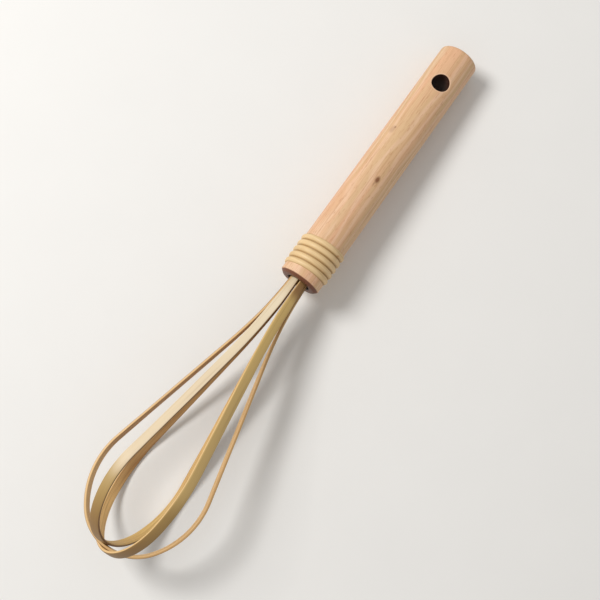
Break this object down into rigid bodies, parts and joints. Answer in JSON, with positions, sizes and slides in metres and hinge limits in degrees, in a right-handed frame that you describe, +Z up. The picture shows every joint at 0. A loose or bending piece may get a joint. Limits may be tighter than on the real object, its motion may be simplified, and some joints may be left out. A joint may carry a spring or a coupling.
{
  "type": "looped bamboo whisk",
  "caption": "Hand whisk with a head of nested flat bamboo loops set in a turned wooden handle, bound with cane at the mouth and drilled at the butt for hanging.",
  "frame": {"origin": "on the table top, under the middle of the whisk as it lies on its two lower legs and its butt", "axes": "+X along the whisk towards the tip of the head, +Z up from the table, +Y to the whisk's left when the tip points away"},
  "size_m": [0.2806, 0.0534, 0.0526],
  "materials": {
    "handle_wood": "satin",
    "cane": "satin",
    "peg_wood": "matte",
    "bamboo": "satin"
  },
  "bodies": {
    "root": {"handle": "handle_wood", "cane_binding": "cane", "core_peg": "peg_wood", "inner_loop": "bamboo", "middle_loop": "bamboo", "outer_loop": "bamboo"}
  },
  "joints": []
}
